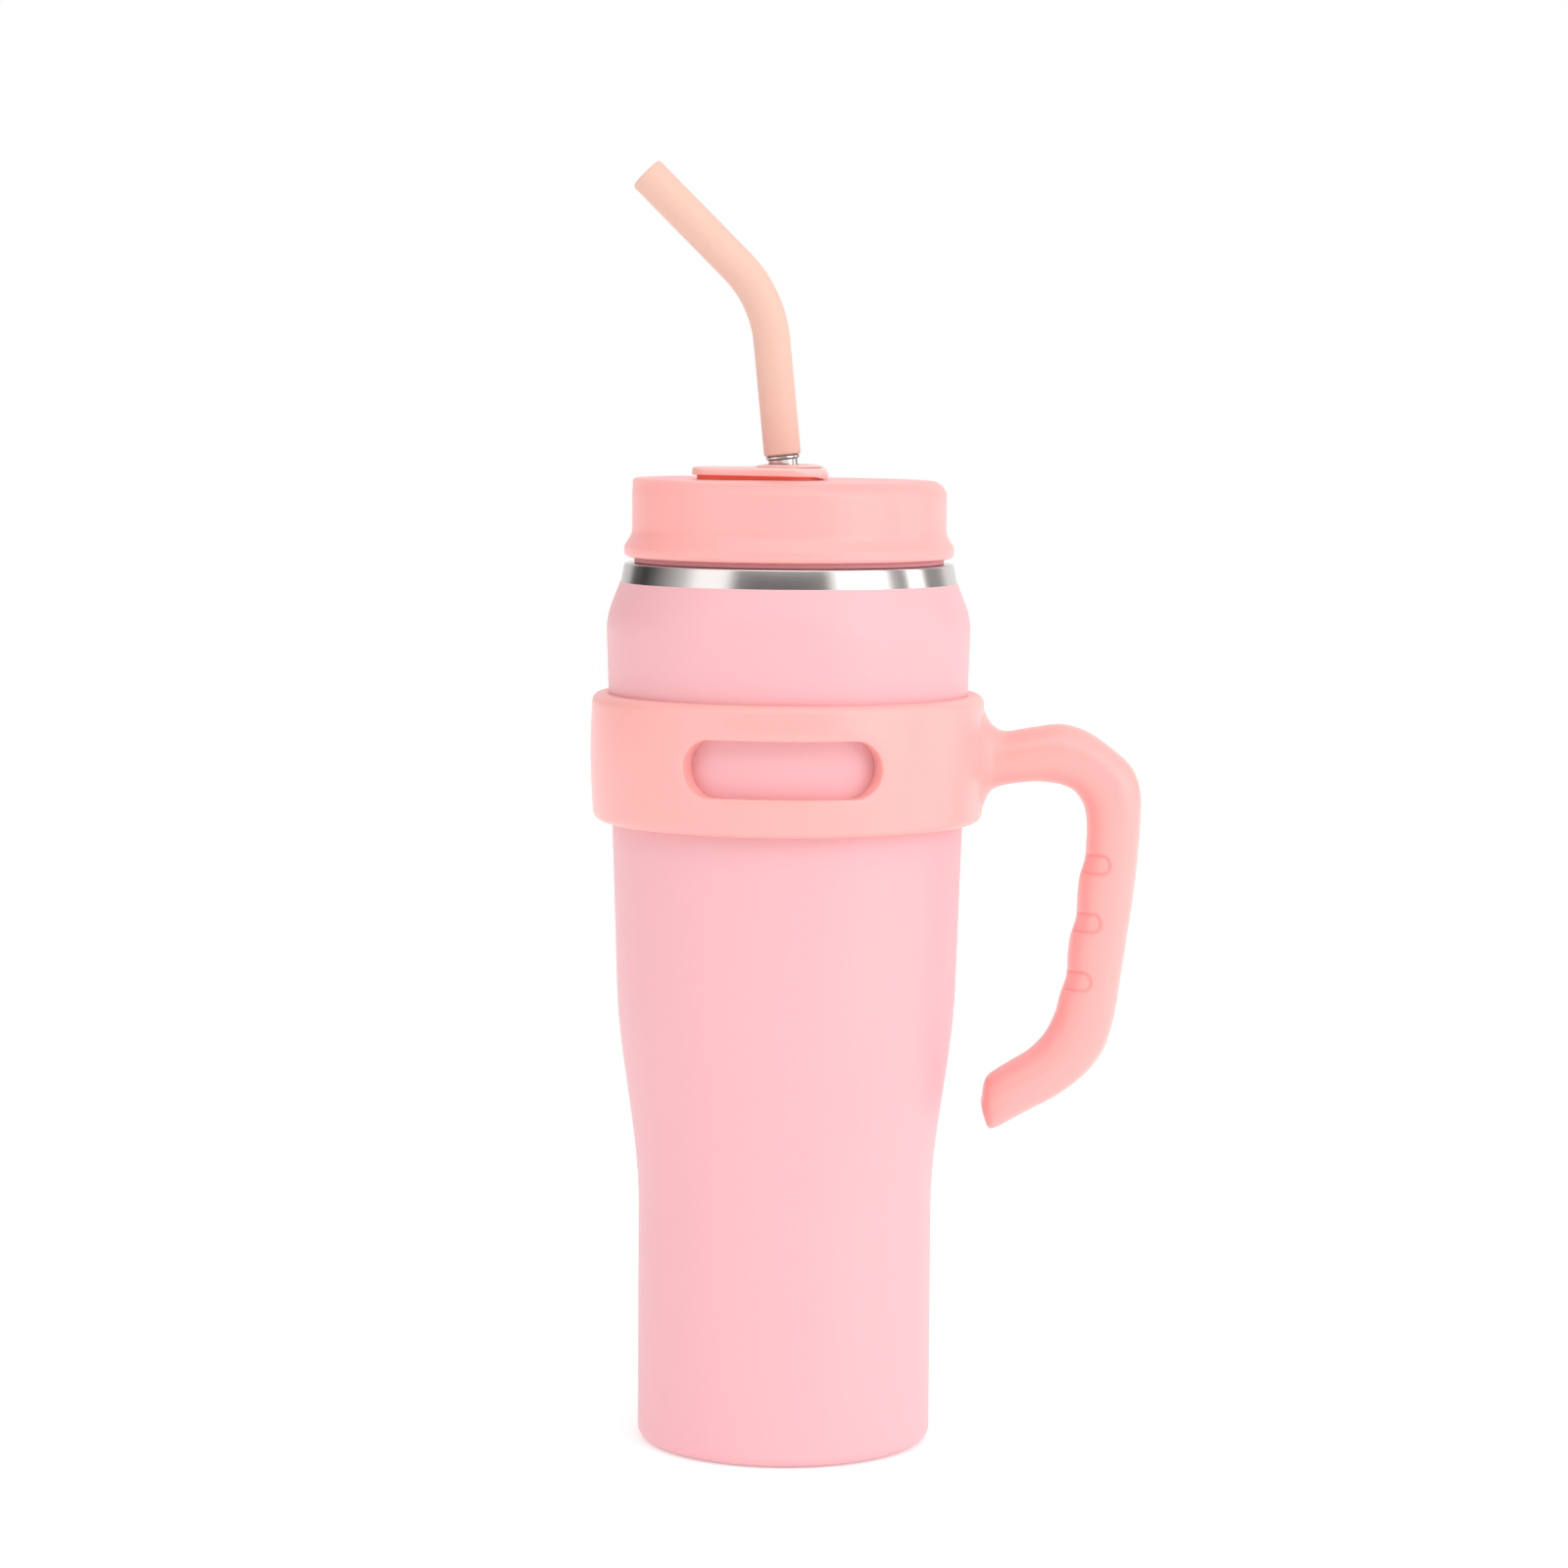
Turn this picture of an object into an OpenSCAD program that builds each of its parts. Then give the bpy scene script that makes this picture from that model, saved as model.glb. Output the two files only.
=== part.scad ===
// Insulated tumbler: a double-walled steel cup, a screw lid with a rotary cover, a bent
// drinking straw and a clip-on band with a handle. Millimetres; the origin is the middle
// of the base, +Z is up, the handle is on +X and the drinking side of the lid is on -X.

/* [Cup body] */
// Radius of the straight lower part, which stands in a cup holder
base_r = 39.8; // [38.5:0.1:40.5]
// Height of the straight lower part
base_h = 64; // [56:1:66]
// Radius of the rounded corner at the foot
base_corner = 3; // [2:0.5:4]
// Radius at the top of the flare
flare_r = 45.9; // [45.5:0.1:46.2]
// Height of the top of the flare
flare_z = 124; // [118:1:130]
// Widening of the wall above the flare, per millimetre of height
body_taper = 0.032; // [0.028:0.001:0.034]
// Height of the shoulder's corner
shoulder_z = 224; // [223:0.5:225]
// Radius of the shoulder's rounding
shoulder_round = 20; // [14:1:22]
// Height where the coating stops
coat_z = 233.5; // [233:0.1:234]
// Radius where the coating stops
coat_r = 45.4; // [45.2:0.1:45.6]
// Wall of the outer shell
shell_wall = 0.6; // [0.5:0.1:0.8]

/* [Mouth and liner] */
// Height of the mouth
mouth_z = 238.6; // [238.2:0.1:238.8]
// Outer radius of the bare steel rim at its top
rim_r = 44.3; // [44:0.1:44.5]
// Inner radius of the neck
neck_r = 39.8; // [39.8:0.1:40]
// Distance from the outside of the cup to the inside of the liner
insulation = 4.7; // [4.4:0.1:5]
// Wall of the liner
liner_wall = 0.5; // [0.4:0.1:0.6]
// Height of the cup's inside floor
floor_z = 7.5; // [7:0.1:7.7]

/* [Thread] */
// Rise of the lid in one turn
thread_lead = 12; // [12:1:14]
// Height of one thread ridge
ridge_h = 2; // [1.6:0.1:2.2]
// Arc that one thread segment spans, in degrees
segment_arc = 48; // [36:1:50]

/* [Lid] */
// Height of the lid's lower edge
lid_z = 240.1; // [240:0.1:240.2]
// Height of the lid's flat top
deck_z = 260.9; // [260.5:0.1:260.9]
// Outer radius of the lid's wall
lid_r = 42.2; // [42:0.1:42.4]
// Outer radius of the lid's lower lip
lip_r = 44.3; // [44:0.1:44.5]
// Wall of the lid's outer shell
lid_wall = 1.7; // [1.5:0.1:1.8]
// Radius of the sip hole
sip_r = 4.5; // [3.5:0.1:5]
// Distance of the sip hole from the lid's axis
sip_x = 18.5; // [17.5:0.5:19]

/* [Rotary cover] */
// Thickness of the cover plate
cover_t = 1.85; // [1.6:0.05:2]
// Radius of the round heel at the pivot
heel_r = 10.4; // [10:0.1:10.6]
// Radius of the tongue's tip
tongue_r = 7.5; // [6.5:0.1:8]
// Reach of the tongue from the pivot
tongue_reach = 26.25; // [25:0.25:28]

/* [Straw] */
// Outer radius of the steel tube
straw_r = 4; // [3.8:0.1:4.1]
// Lean of the straw from upright, in degrees
straw_lean = 5.75; // [5:0.25:6]
// Outer radius of the soft tip
tip_r = 4.95; // [4.8:0.05:5.2]
// Radius of the tip's bend along its middle
bend_r = 33; // [28:1:36]
// Angle that the tip bends by, in degrees
bend_angle = 39.25; // [30:0.25:45]
// Length of the tip beyond the bend
mouth_piece = 34.5; // [30:0.5:36]

/* [Handle] */
// Height of the band's lower edge
band_z0 = 169.2; // [168:0.1:170]
// Height of the band's upper edge
band_z1 = 203.9; // [203:0.1:205]
// Outer radius of the band at its middle
band_r = 53.3; // [53:0.1:54]
// Gap between the band and the cup
band_gap = 0.35; // [0.3:0.05:0.5]
// Width of the band's window
window_w = 52; // [44:1:54]
// Height of the band's window
window_h = 15; // [12:0.5:16]
// Depth of the grip, front to back
grip_depth = 19; // [17:0.5:21]
// Depth of a finger groove
groove_deep = 0.8; // [0.5:0.1:1]

/* [Hidden] */
$fn = 96;

// Foot of the cup
shell_z = 0.4;                    // height of the shell's underside; the pad stands below it
foot_r = 33;                      // inner radius of the shell's turned-in foot
disc_z = shell_z + shell_wall;    // underside of the welded base disc
dimple_r = 7;
dimple_h = 1.5;

// Flare between the straight part and the tapered part
flare_steps = 12;
shoulder_r = flare_r + body_taper * (shoulder_z - flare_z);

// Neck
neck_z = 215;
neck_start_z = 205;
thread_z = 221;                   // height where the first cup ridge starts
ridge_deep = 1.5;
bite = 0.3;                       // how far a ridge is rooted in its wall
thread_play = 0.3;
plug_r = 37.6;
plug_wall = 1.8;
plug_z = 219;
lug_z = thread_z - ridge_h - thread_play;
lug_deep = 1.8;

// Lid inside
seat_z = 241.5;                   // top of the plug's flange
tray_z = 243.5;                   // underside of the plug's tray
tray_t = 2;
deck_t = 2;
lid_in_r = lid_r - lid_wall;
spout_arc = 104;
spout_h = 0.4;
bush_r = 7.9;
bush_bore = 6.4;
crown_r = 9;
crown_z = 264.38;
crown_t = 0.67;
vent_r = 1.2;
vent_x = 24;

// Cover
cover_z = 262.45;
cover_pivot_r = bush_r + 0.08;
gasket_inset = 1.3;
tongue_x = tongue_reach - tongue_r;
heel_arc = 70;

// Straw, measured along its own axis from where it crosses the lid's axis
cross_z = 248;
straw_wall = 0.5;
tube_foot = -240.9;
tube_top = 38;
bead_s = 19;
bead_r = 4.65;
tip_foot = 19.6;
bend_s = 50.15;
bend_end_x = -bend_r * (1 - cos(bend_angle));
bend_end_s = bend_s + bend_r * sin(bend_angle);
tip_fit = 0.05;
lap = 0.5;
lap_step = 0.02;

// Grip: outer edge from the band round to the tip, then the inner edge back
GRIP = [[50, 192.4], [75.2, 196.6, 12], [96, 182.6, 13], [95.2, 164, 60], [86.8, 101.5, 30],
        [53, 83.4, 4], [53.3, 99.6, 5], [74.4, 112.4, 25], [80.6, 163, 40],
        [81, 180.7, 10], [66, 180.2, 40], [50, 177]];
groove_r = 2.65;
first_groove = [84.3, 157.6];
groove_step = [-2.4, -15.8];
groove_edge = 3.4;                // from a groove's middle to the grip's inner edge
window_lift = 0.5;                // height of the window's middle above the band's

// Colours
PINK_COAT = [0.98, 0.74, 0.76];
PINK_PLASTIC = [0.99, 0.74, 0.72];
CORAL = [0.95, 0.36, 0.28];
ROSE = [0.76, 0.46, 0.48];
PEACH = [0.95, 0.75, 0.66];
STEEL = [0.78, 0.77, 0.76];
SILVER = [0.86, 0.86, 0.87];
CLEAR = [0.9, 0.9, 0.88];

// Outside radius of the cup at a height below the shoulder
function body_r(z) =
    z <= base_h ? base_r
    : z >= flare_z ? flare_r + body_taper * (z - flare_z)
    : let (rise = flare_z - base_h, t = (z - base_h) / rise)
      base_r + (flare_r - base_r) * t * t * (3 - 2 * t)
      + body_taper * rise * t * t * (t - 1);

function flare_line(inset) =
    [for (k = [0:flare_steps]) let (z = base_h + (flare_z - base_h) * k / flare_steps)
        [body_r(z) - inset, z]];

function unit(v) = v / norm(v);
function flat(p) = [p[0], p[1]];
function reversed(list) = [for (i = [len(list) - 1:-1:0]) list[i]];

// Points of the arc of radius r that rounds the corner p between a and b
function corner_arc(a, p, b, r, steps) =
    let (u = unit(a - p), v = unit(b - p), half = acos(u * v) / 2,
         middle = p + unit(u + v) * r / sin(half),
         from = p + u * r / tan(half) - middle,
         to = p + v * r / tan(half) - middle,
         start = atan2(from[1], from[0]),
         turn = (atan2(to[1], to[0]) - start + 540) % 360 - 180)
    [for (k = [0:steps]) middle + r * [cos(start + turn * k / steps), sin(start + turn * k / steps)]];

// An outline whose points may carry a third number, the radius that rounds them
function rounded(path, steps = 8) =
    let (n = len(path))
    [for (i = [0:n - 1])
        each (len(path[i]) < 3 || path[i][2] == 0 ? [flat(path[i])]
              : corner_arc(flat(path[(i + n - 1) % n]), flat(path[i]), flat(path[(i + 1) % n]),
                           path[i][2], steps))];

// Outside of the shell, or of a surface inset from it, from the foot to the coating's edge
function shell_line(inset) =
    rounded(concat([[foot_r, shell_z + inset], [base_r - inset, shell_z + inset, base_corner - inset]],
                   flare_line(inset),
                   [[shoulder_r - inset, shoulder_z, shoulder_round], [coat_r - inset, coat_z]]));

// The liner's outside or inside, from the middle of its floor up to the rim
function liner_line(inset, grow) =
    rounded(concat([[0, floor_z - grow], [base_r - inset, floor_z - grow, 5.5 + grow]],
                   flare_line(inset),
                   [[body_r(neck_start_z) - inset, neck_start_z, 6], [neck_r + grow, neck_z, 6],
                    [neck_r + grow, mouth_z - shell_wall]]));

module revolve(points) {
    rotate_extrude(convexity = 6) polygon(points);
}

// One start after another of a right-hand thread, each made of short ridges
module thread(r0, r1, z0, first, last) {
    for (start = [0, 180], k = [first:last])
        rotate([0, 0, start + 60 * k])
            translate([0, 0, z0 + thread_lead * k / 6])
                rotate([atan(thread_lead / (2 * PI * r1)), 0, 0])
                    rotate([0, 0, -segment_arc / 2])
                        rotate_extrude(angle = segment_arc)
                            polygon([[r0, -ridge_h / 2], [r1, -ridge_h / 4],
                                     [r1, ridge_h / 4], [r0, ridge_h / 2]]);
}

module outer_shell() {
    color(PINK_COAT) revolve(concat(shell_line(0), reversed(shell_line(shell_wall))));
}

module mouth_ring() {
    color(STEEL)
        revolve(rounded([[coat_r - 0.1 - shell_wall, coat_z], [coat_r - 0.1, coat_z],
                         [rim_r, mouth_z, 0.5], [neck_r, mouth_z, 0.25],
                         [neck_r, mouth_z - shell_wall], [rim_r - shell_wall, mouth_z - shell_wall]]));
}

module inner_liner() {
    color(STEEL) {
        revolve(concat(liner_line(insulation, 0), reversed(liner_line(insulation - liner_wall, liner_wall))));
        thread(neck_r + bite, neck_r - ridge_deep, thread_z, 0, 4);
    }
}

module shell_base() {
    top = dimple_h + shell_wall;
    color(STEEL)
        revolve([[0, disc_z + dimple_h], [dimple_r, disc_z + dimple_h], [dimple_r + 1, disc_z],
                 [base_r - base_corner, disc_z], [base_r - base_corner, disc_z + shell_wall],
                 [dimple_r + 1.4, disc_z + shell_wall], [dimple_r + 0.4, disc_z + top], [0, disc_z + top]]);
}

module vacuum_seal() {
    color(SILVER) revolve([[0, disc_z + 0.2], [1.6, disc_z + 0.4], [2.6, disc_z + dimple_h], [0, disc_z + dimple_h]]);
}

module getter() {
    color(SILVER) translate([20, 0, disc_z + shell_wall])
        revolve(rounded([[0, 0], [7, 0], [7, 2, 0.8], [0, 2]], 4));
}

module foil_wrap() {
    gap = insulation - liner_wall - 0.2;
    low = 16;
    high = 196;
    color(SILVER)
        revolve(concat([[body_r(low) - gap, low]], flare_line(gap), [[body_r(high) - gap, high]],
                       [[body_r(high) - gap + 0.3, high]], reversed(flare_line(gap - 0.3)),
                       [[body_r(low) - gap + 0.3, low]]));
}

module base_pad() {
    color(CLEAR) revolve(rounded([[0, 0], [foot_r - 0.2, 0, 0.4], [foot_r - 0.2, disc_z], [0, disc_z]], 4));
}

module window() {
    rotate([90, 0, 0])
        linear_extrude(height = 3 * band_r, center = true)
            translate([0, (band_z0 + band_z1) / 2 + window_lift]) {
                square([window_w - window_h, window_h], center = true);
                for (side = [-1, 1])
                    translate([side * (window_w - window_h) / 2, 0]) circle(d = window_h);
            }
}

// A shallow round-ended groove that wraps the inner side of the grip
module finger_groove() {
    difference() {
        union() {
            rotate([90, 0, 0]) cylinder(r = groove_r, h = grip_depth + 2, center = true);
            translate([-groove_r, 0, 0]) cube([2 * groove_r, grip_depth + 2, 2 * groove_r], center = true);
        }
        translate([groove_deep - groove_edge, groove_deep - grip_depth / 2, -groove_r - 1])
            cube([20, grip_depth - 2 * groove_deep, 2 * groove_r + 2]);
    }
}

module handle_band() {
    color(PINK_PLASTIC) {
        difference() {
            revolve(rounded([[body_r(band_z0) + band_gap, band_z0], [band_r - 0.9, band_z0, 2.5],
                             [band_r, 188, 80], [band_r - 0.6, band_z1, 2.5],
                             [body_r(band_z1) + band_gap, band_z1]]));
            window();
        }
        difference() {
            rotate([90, 0, 0])
                linear_extrude(height = grip_depth, center = true) polygon(rounded(GRIP, 10));
            for (k = [0:2])
                translate([first_groove[0] + k * groove_step[0], 0, first_groove[1] + k * groove_step[1]])
                    finger_groove();
        }
    }
}

module lid_gasket() {
    color(ROSE)
        revolve(rounded([[plug_r + 0.4, mouth_z + 0.05], [41.8, mouth_z + 0.05, 0.3],
                         [41.8, lid_z - 0.05, 0.3], [plug_r + 0.4, lid_z - 0.05]], 4));
}

module lid_shell() {
    color(PINK_PLASTIC)
        difference() {
            union() {
                revolve(rounded([[lid_in_r, lid_z], [lip_r, lid_z, 1.7], [lip_r, lid_z + 2.6, 0.8],
                                 [lid_r, lid_z + 5.7, 4], [lid_r, deck_z - 0.2, 4.2], [33, deck_z],
                                 [0, deck_z], [0, deck_z - deck_t], [lid_in_r, deck_z - deck_t, 3.2]]));
                rotate([0, 0, 180 - spout_arc / 2])
                    rotate_extrude(angle = spout_arc)
                        polygon(rounded([[37.4, deck_z - deck_t], [38.6, deck_z - deck_t - 0.7],
                                         [lid_r, deck_z - 6], [lid_r - 0.15, deck_z + spout_h, 0.4],
                                         [lid_r - 1.6, deck_z + spout_h, 0.3], [37.4, deck_z]], 4));
            }
            translate([0, 0, deck_z - 2 * deck_t]) cylinder(r = bush_r + 0.05, h = 3 * deck_t);
            translate([-sip_x, 0, deck_z - 2 * deck_t]) cylinder(r = sip_r, h = 3 * deck_t);
            translate([vent_x, 0, deck_z - 2 * deck_t]) cylinder(r = vent_r, h = 3 * deck_t);
        }
}

module lid_plug() {
    tray_top = tray_z + tray_t;
    color(PINK_PLASTIC) {
        difference() {
            union() {
                revolve([[plug_r - plug_wall, plug_z], [plug_r, plug_z], [plug_r, lid_z],
                         [lid_in_r - 0.05, lid_z], [lid_in_r - 0.05, seat_z], [plug_r, seat_z],
                         [plug_r, tray_top], [0, tray_top], [0, tray_z], [plug_r - plug_wall, tray_z]]);
                translate([-sip_x, 0, tray_z]) cylinder(r = sip_r + 1.2, h = deck_z - deck_t - tray_z);
            }
            translate([0, 0, tray_z - 1]) cylinder(r = 7, h = 4);
            translate([-sip_x, 0, tray_z - 1]) cylinder(r = sip_r, h = 30);
            translate([vent_x, 0, tray_z - 1]) cylinder(r = vent_r, h = 4);
        }
        thread(plug_r - bite, plug_r + lug_deep, lug_z, 1, 4);
    }
}

module pivot_bush() {
    color(PINK_PLASTIC)
        revolve(rounded([[bush_bore, 256.4], [crown_r, 256.4, 0.4], [crown_r, deck_z - deck_t],
                         [bush_r, deck_z - deck_t], [bush_r, crown_z], [crown_r, crown_z],
                         [crown_r, crown_z + crown_t, 0.5], [bush_bore, crown_z + crown_t, 0.3]], 4));
}

// Stands its children along the straw's own axis
module along_straw() {
    translate([0, 0, cross_z]) rotate([0, -straw_lean, 0]) children();
}

module straw_grommet() {
    tray_top = tray_z + tray_t;
    color(CLEAR)
        difference() {
            revolve(rounded([[0, tray_z - 1.6], [8.6, tray_z - 1.6, 0.5], [8.6, tray_z], [6.95, tray_z],
                             [6.95, tray_top], [8.6, tray_top], [8.6, tray_top + 1.6, 0.5],
                             [0, tray_top + 1.6]], 4));
            along_straw() cylinder(r = straw_r + 0.08, h = 30, center = true);
        }
}

// The round heel and the narrower tongue, joined by their common tangents
module cover_outline(inset) {
    heel = heel_r - inset;
    tip = tongue_r - inset;
    lean = acos((heel - tip) / tongue_x);
    circle(r = heel);
    translate([-tongue_x, 0]) circle(r = tip);
    polygon([heel * [-cos(lean), sin(lean)], [-tongue_x - tip * cos(lean), tip * sin(lean)],
             [-tongue_x - tip * cos(lean), -tip * sin(lean)], heel * [-cos(lean), -sin(lean)]]);
}

module rotary_cover() {
    color(PINK_PLASTIC)
        difference() {
            union() {
                translate([0, 0, cover_z]) linear_extrude(height = cover_t) cover_outline(0);
                rotate([0, 0, -heel_arc / 2])
                    rotate_extrude(angle = heel_arc)
                        polygon([[9.15, deck_z + 0.1], [heel_r + 0.2, deck_z + 0.1],
                                 [heel_r + 0.1, cover_z + 0.6], [9.15, cover_z + 0.6]]);
            }
            translate([0, 0, cover_z - 3]) cylinder(r = cover_pivot_r, h = 8);
        }
}

module cover_gasket() {
    color(CORAL)
        difference() {
            translate([0, 0, deck_z + 0.1])
                linear_extrude(height = cover_z - deck_z - 0.1) cover_outline(gasket_inset);
            translate([0, 0, deck_z - 1]) cylinder(r = bush_r + 0.3, h = 4);
        }
}

module straw_tube() {
    color(STEEL) along_straw()
        revolve([[straw_r - straw_wall, tube_foot], [straw_r, tube_foot], [straw_r, bead_s - 0.5],
                 [bead_r, bead_s - 0.15], [bead_r, bead_s + 0.15], [straw_r, bead_s + 0.5],
                 [straw_r, tube_top], [straw_r - straw_wall, tube_top]]);
}

// The tip's path at radius r: straight, bent towards the drinking side, straight again.
// The last stretch is a hair thinner and starts inside the bend, so that the two join well.
module tip_path(r, past) {
    translate([0, 0, tip_foot - past]) cylinder(r = r, h = bend_s - tip_foot + past);
    translate([-bend_r, 0, bend_s]) rotate([90, 0, 0])
        rotate_extrude(angle = bend_angle) translate([bend_r, 0]) circle(r = r);
    translate([bend_end_x, 0, bend_end_s]) rotate([0, -bend_angle, 0])
        translate([0, 0, -lap]) cylinder(r = r - lap_step, h = lap + mouth_piece + past);
}

module straw_tip() {
    color(PEACH) along_straw()
        difference() {
            tip_path(tip_r, 0);
            tip_path(straw_r - straw_wall, 1);
            translate([0, 0, tip_foot - 1]) cylinder(r = straw_r + tip_fit, h = tube_top - tip_foot + 1.3);
        }
}

outer_shell();
mouth_ring();
inner_liner();
shell_base();
vacuum_seal();
getter();
foil_wrap();
base_pad();
handle_band();
lid_gasket();
lid_shell();
lid_plug();
pivot_bush();
straw_grommet();
rotary_cover();
cover_gasket();
straw_tube();
straw_tip();
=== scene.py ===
"""Looks for the insulated tumbler, laid out as an add-on and run as a script."""

import math

import bmesh
import bpy
from mathutils import Matrix, Vector


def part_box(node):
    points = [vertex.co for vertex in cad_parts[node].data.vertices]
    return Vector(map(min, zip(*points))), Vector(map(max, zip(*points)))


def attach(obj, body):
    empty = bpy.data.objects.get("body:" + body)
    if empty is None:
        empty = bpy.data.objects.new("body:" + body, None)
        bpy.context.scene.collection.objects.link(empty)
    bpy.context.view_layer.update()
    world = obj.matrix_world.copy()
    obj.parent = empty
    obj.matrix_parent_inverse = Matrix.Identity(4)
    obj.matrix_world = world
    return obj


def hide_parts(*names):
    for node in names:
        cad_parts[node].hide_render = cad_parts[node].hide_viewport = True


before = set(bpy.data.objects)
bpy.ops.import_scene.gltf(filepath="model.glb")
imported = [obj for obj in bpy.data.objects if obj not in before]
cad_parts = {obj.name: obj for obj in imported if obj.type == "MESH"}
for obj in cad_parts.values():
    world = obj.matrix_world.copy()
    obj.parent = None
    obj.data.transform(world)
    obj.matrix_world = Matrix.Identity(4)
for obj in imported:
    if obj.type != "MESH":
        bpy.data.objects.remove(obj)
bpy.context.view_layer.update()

bl_info = {
    "name": "Insulated tumbler",
    "version": (1, 0, 0),
    "blender": (4, 5, 0),
    "location": "View3D > Sidebar > Tumbler",
    "description": "Builds the tumbler's cup, band, lid, cover and straw around the packed frame",
    "category": "Object",
}

MM = 0.001
UP = Vector((0, 0, 1))
ROUND = 256  # segments round a turned piece
SAME = 1e-7  # metres within which two places are one
WHITE = (1, 1, 1, 1)


def top_of(node):
    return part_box(node)[1].z


def foot_of(node):
    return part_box(node)[0].z


def reach_of(node):
    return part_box(node)[1].y


# ---------------- sizes and colours


def size(name, text, value):
    """A length in metres that a user may change."""
    return bpy.props.FloatProperty(name=name, description=text, default=value, unit="LENGTH", precision=5)


def tint(name, text, rgb):
    """A colour that a user may change, given in linear values."""
    return bpy.props.FloatVectorProperty(
        name=name, description=text, default=rgb, size=3, min=0, max=1, subtype="COLOR"
    )


class TumblerCupSizes(bpy.types.PropertyGroup):
    """Sizes of the steel cup"""

    foot_r: size("Foot radius", "Radius of the straight foot", 39.8 * MM)
    foot_h: size("Foot height", "Height of the straight foot", 64 * MM)
    corner: size("Foot corner", "Radius of the rounded foot", 3 * MM)
    flare_r: size("Flare radius", "Radius at the top of the flare", 45.9 * MM)
    flare_z: size("Flare height", "Height of the top of the flare", 124 * MM)
    taper: bpy.props.FloatProperty(name="Taper", description="Widening above the flare", default=0.032)
    shoulder_z: size("Shoulder height", "Height of the shoulder's corner", 224 * MM)
    shoulder_round: size("Shoulder rounding", "Radius of the shoulder", 20 * MM)
    coat_r: size("Coat edge radius", "Radius where the coating stops", 45.4 * MM)
    coat_z: size("Coat edge height", "Height where the coating stops", top_of("outer_shell"))
    wall: size("Shell wall", "Thickness of the outer shell", 0.6 * MM)
    foot_in: size("Foot opening", "Inner radius of the turned-in foot", 33 * MM)
    rim_r: size("Rim radius", "Outer radius of the bare rim at the mouth", 44.3 * MM)
    neck_r: size("Neck radius", "Inner radius of the mouth", 39.8 * MM)


class TumblerBandSizes(bpy.types.PropertyGroup):
    """Sizes of the band and the grip"""

    top_z: size("Band top", "Height of the band's upper edge", top_of("handle_band"))
    foot_z: size("Band foot", "Height of the band's lower edge", 169.2 * MM)
    gap: size("Gap", "Gap between the band and the cup", 0.06 * MM)
    wall: size("Band wall", "Thickness of the band before its inside is fitted to the cup", 4.5 * MM)
    belly_r: size("Belly radius", "Outer radius at the middle of the band", 53.3 * MM)
    edge_r: size("Edge rounding", "Rounding of the band's outer edges", 2.5 * MM)
    window_w: size("Window width", "Width of the window", 52 * MM)
    window_h: size("Window height", "Height of the window", 15 * MM)
    window_lift: size("Window lift", "Height of the window's middle above the band's", 0.5 * MM)
    lip_h: size("Lip height", "Height of the soft lip round the window", 0.3 * MM)
    groove_r: size("Groove radius", "Half the height of a finger groove", 2.65 * MM)
    groove_deep: size("Groove depth", "Depth of a finger groove", 0.85 * MM)


class TumblerLidSizes(bpy.types.PropertyGroup):
    """Sizes of the lid, its cover and their seals"""

    wall_r: size("Wall radius", "Outer radius of the lid's wall", 42.2 * MM)
    lip_r: size("Lip radius", "Outer radius of the lower lip", reach_of("lid_shell"))
    thick: size("Wall thickness", "Thickness of the lid's wall", 1.7 * MM)
    corner: size("Top rounding", "Radius of the top edge away from the spout", 4.2 * MM)
    deck_z: size("Deck height", "Height of the lid's flat top", 260.9 * MM)
    spout_h: size("Spout rise", "Rise of the drinking edge above the deck", 0.3 * MM)
    sip_r: size("Sip hole radius", "Radius of the sip hole", 4.5 * MM)
    sip_x: size("Sip hole place", "Distance of the sip hole from the axis", 18.5 * MM)
    vent_r: size("Vent radius", "Radius of the air vent", 1.2 * MM)
    vent_x: size("Vent place", "Distance of the vent from the axis", 24 * MM)
    heel_r: size("Heel radius", "Radius of the cover's round heel", 10.4 * MM)
    tongue_r: size("Tongue radius", "Radius of the tongue's tip", 7.5 * MM)
    reach: size("Tongue reach", "Reach of the tongue from the pivot", 26.25 * MM)
    cover_t: size("Cover thickness", "Thickness of the cover plate", 2.2 * MM)
    cover_z: size("Cover height", "Height of the cover plate's underside", 262.1 * MM)
    bush_r: size("Pivot radius", "Radius of the pivot's barrel", 7.9 * MM)


class TumblerStrawSizes(bpy.types.PropertyGroup):
    """Sizes of the straw and its tip, along the straw's own axis"""

    lean: bpy.props.FloatProperty(
        name="Lean", description="Lean from upright", default=math.radians(5.75), subtype="ANGLE"
    )
    cross_z: size("Crossing height", "Height where the straw crosses the lid's axis", 248 * MM)
    tube_r: size("Tube radius", "Outer radius of the steel tube", 4 * MM)
    tube_wall: size("Tube wall", "Wall of the steel tube", 0.5 * MM)
    tube_foot: size("Tube foot", "Lower end of the tube", -240.9 * MM)
    tube_top: size("Tube top", "Upper end of the tube, inside the tip", 38 * MM)
    bead: size("Bead place", "Place of the raised bead", 19 * MM)
    bead_r: size("Bead radius", "Outer radius of the bead", 4.65 * MM)
    tip_r: size("Tip radius", "Outer radius of the soft tip", 4.95 * MM)
    tip_foot: size("Tip foot", "Lower end of the tip", 19.6 * MM)
    bend: size("Bend start", "Where the tip starts to bend", 50.15 * MM)
    bend_r: size("Bend radius", "Radius of the bend along its middle", 33 * MM)
    bend_angle: bpy.props.FloatProperty(
        name="Bend angle", description="Angle of the bend", default=math.radians(39.25), subtype="ANGLE"
    )
    mouth: size("Mouthpiece", "Length of the tip beyond the bend", 34.5 * MM)


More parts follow.
